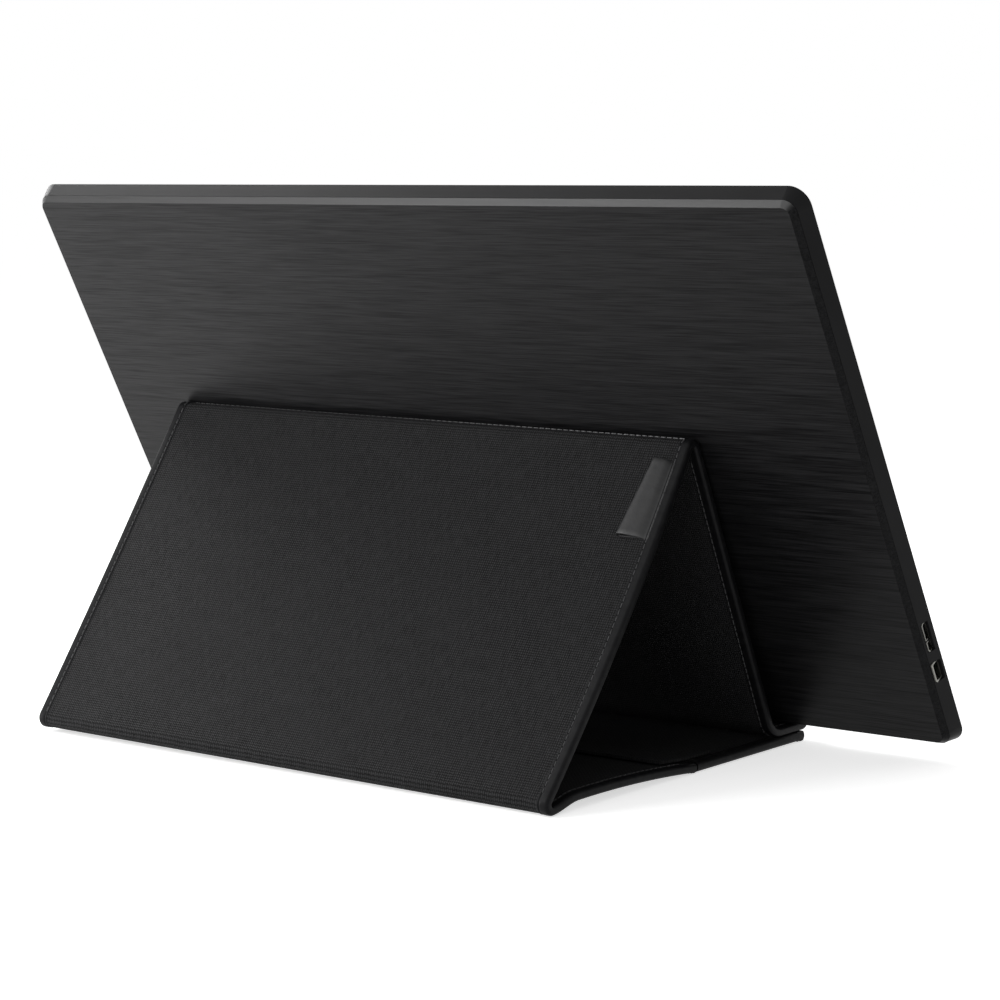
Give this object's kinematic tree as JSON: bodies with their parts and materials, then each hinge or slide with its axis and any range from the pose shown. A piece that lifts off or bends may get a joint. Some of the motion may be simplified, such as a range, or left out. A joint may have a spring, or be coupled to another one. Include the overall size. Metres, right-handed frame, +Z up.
{
  "type": "portable monitor with cover",
  "caption": "Slim flat portable monitor leaning on a padded cloth cover that is folded into a three-sided prism stand with a lip under the screen.",
  "frame": {"origin": "on the table, under the middle of the whole object's box", "axes": "+Z up; -Y is the way the screen faces, +Y is behind it where the stand is; +X is along the monitor's width, to the right for someone who looks at the screen"},
  "size_m": [0.3822, 0.1652, 0.219],
  "materials": {
    "brushed_black_back": "brushed, satin black",
    "matte_black_bezel": "fine matte black",
    "key_plastic": "matte black",
    "screen_glass": "matt anti-glare, switched off",
    "foam": "matt black foam",
    "diffuser_film": "translucent white film",
    "clear_acrylic": "clear",
    "led_white": "white with yellow phosphor",
    "bare_steel": "bare sheet steel",
    "screw_steel": "zinc plated",
    "green_circuit_board": "green solder mask",
    "chip_black": "moulded epoxy",
    "switch_cream": "cream plastic",
    "amber_flex": "amber film",
    "nickel_shell": "satin nickel",
    "woven_polyester": "plain woven charcoal polyester",
    "dark_lining": "fine black woven lining",
    "grey_board": "pressed board",
    "leatherette_binding": "smooth grained leatherette",
    "grey_leather": "soft grey leather"
  },
  "bodies": {
    "base": {"base_flap_cloth": "woven_polyester", "base_flap_board": "grey_board", "base_flap_bindings": "leatherette_binding", "closing_tongue": "dark_lining", "keeper_plates": "bare_steel", "lip_cloth": "woven_polyester", "lip_lining": "dark_lining", "lip_bindings": "leatherette_binding", "front_fold_roll": "woven_polyester"},
    "front_panel": {"front_panel_cloth": "woven_polyester", "front_panel_board": "grey_board", "front_panel_lining": "dark_lining", "front_panel_bindings": "leatherette_binding", "top_fold_roll": "woven_polyester"},
    "rear_panel": {"rear_panel_cloth": "woven_polyester", "rear_panel_board": "grey_board", "rear_panel_lining": "dark_lining", "rear_panel_bindings": "leatherette_binding", "rear_fold_roll": "woven_polyester", "leather_tag": "grey_leather"},
    "base_panel": {"base_panel_cloth": "woven_polyester", "base_panel_board": "grey_board", "base_panel_lining": "dark_lining", "base_panel_bindings": "leatherette_binding", "base_magnets": "bare_steel"},
    "monitor": {"rear_cover": "brushed_black_back", "front_bezel": "matte_black_bezel", "lcd_cell": "screen_glass", "foam_gasket": "foam", "optical_sheets": "diffuser_film", "light_guide": "clear_acrylic", "led_strip": "led_white", "panel_tray": "bare_steel", "driver_board": "green_circuit_board", "panel_cable": "amber_flex", "main_board": "green_circuit_board", "board_chips": "chip_black", "shield_can": "bare_steel", "usb_receptacle": "nickel_shell", "usb_tongue": "chip_black", "lock_slot_liner": "nickel_shell", "button_board": "green_circuit_board", "key_switches": "switch_cream", "button_cable": "amber_flex", "power_light": "clear_acrylic", "tray_screws": "screw_steel", "board_screws": "screw_steel"},
    "power_key": {"power_button": "key_plastic"},
    "brighter_key": {"brighter_button": "key_plastic"},
    "dimmer_key": {"dimmer_button": "key_plastic"}
  },
  "joints": [
    {"name": "front_fold", "type": "hinge", "parent": "base", "child": "front_panel", "pos_m": [0, -0.05684, 0.0058], "axis": [-1, 0, 0], "range_deg": [0, 60]},
    {"name": "top_fold", "type": "hinge", "parent": "front_panel", "child": "rear_panel", "pos_m": [0, -0.00871, 0.12116], "axis": [1, 0, 0], "range_deg": [0, 110]},
    {"name": "rear_fold", "type": "hinge", "parent": "rear_panel", "child": "base_panel", "pos_m": [0, 0.07854, 0.0041], "axis": [1, 0, 0], "range_deg": [0, 120]},
    {"name": "monitor_lift", "type": "slide", "parent": "base", "child": "monitor", "axis": [0, 0.4462, 0.8949], "range_m": [0, 0.15]},
    {"name": "power_key_press", "type": "slide", "parent": "monitor", "child": "power_key", "axis": [0, 0.8949, -0.4462], "range_m": [0, 0.0004], "stiffness_N_per_m": 800},
    {"name": "brighter_key_press", "type": "slide", "parent": "monitor", "child": "brighter_key", "axis": [0, 0.8949, -0.4462], "range_m": [0, 0.0004], "stiffness_N_per_m": 800},
    {"name": "dimmer_key_press", "type": "slide", "parent": "monitor", "child": "dimmer_key", "axis": [0, 0.8949, -0.4462], "range_m": [0, 0.0004], "stiffness_N_per_m": 800}
  ]
}
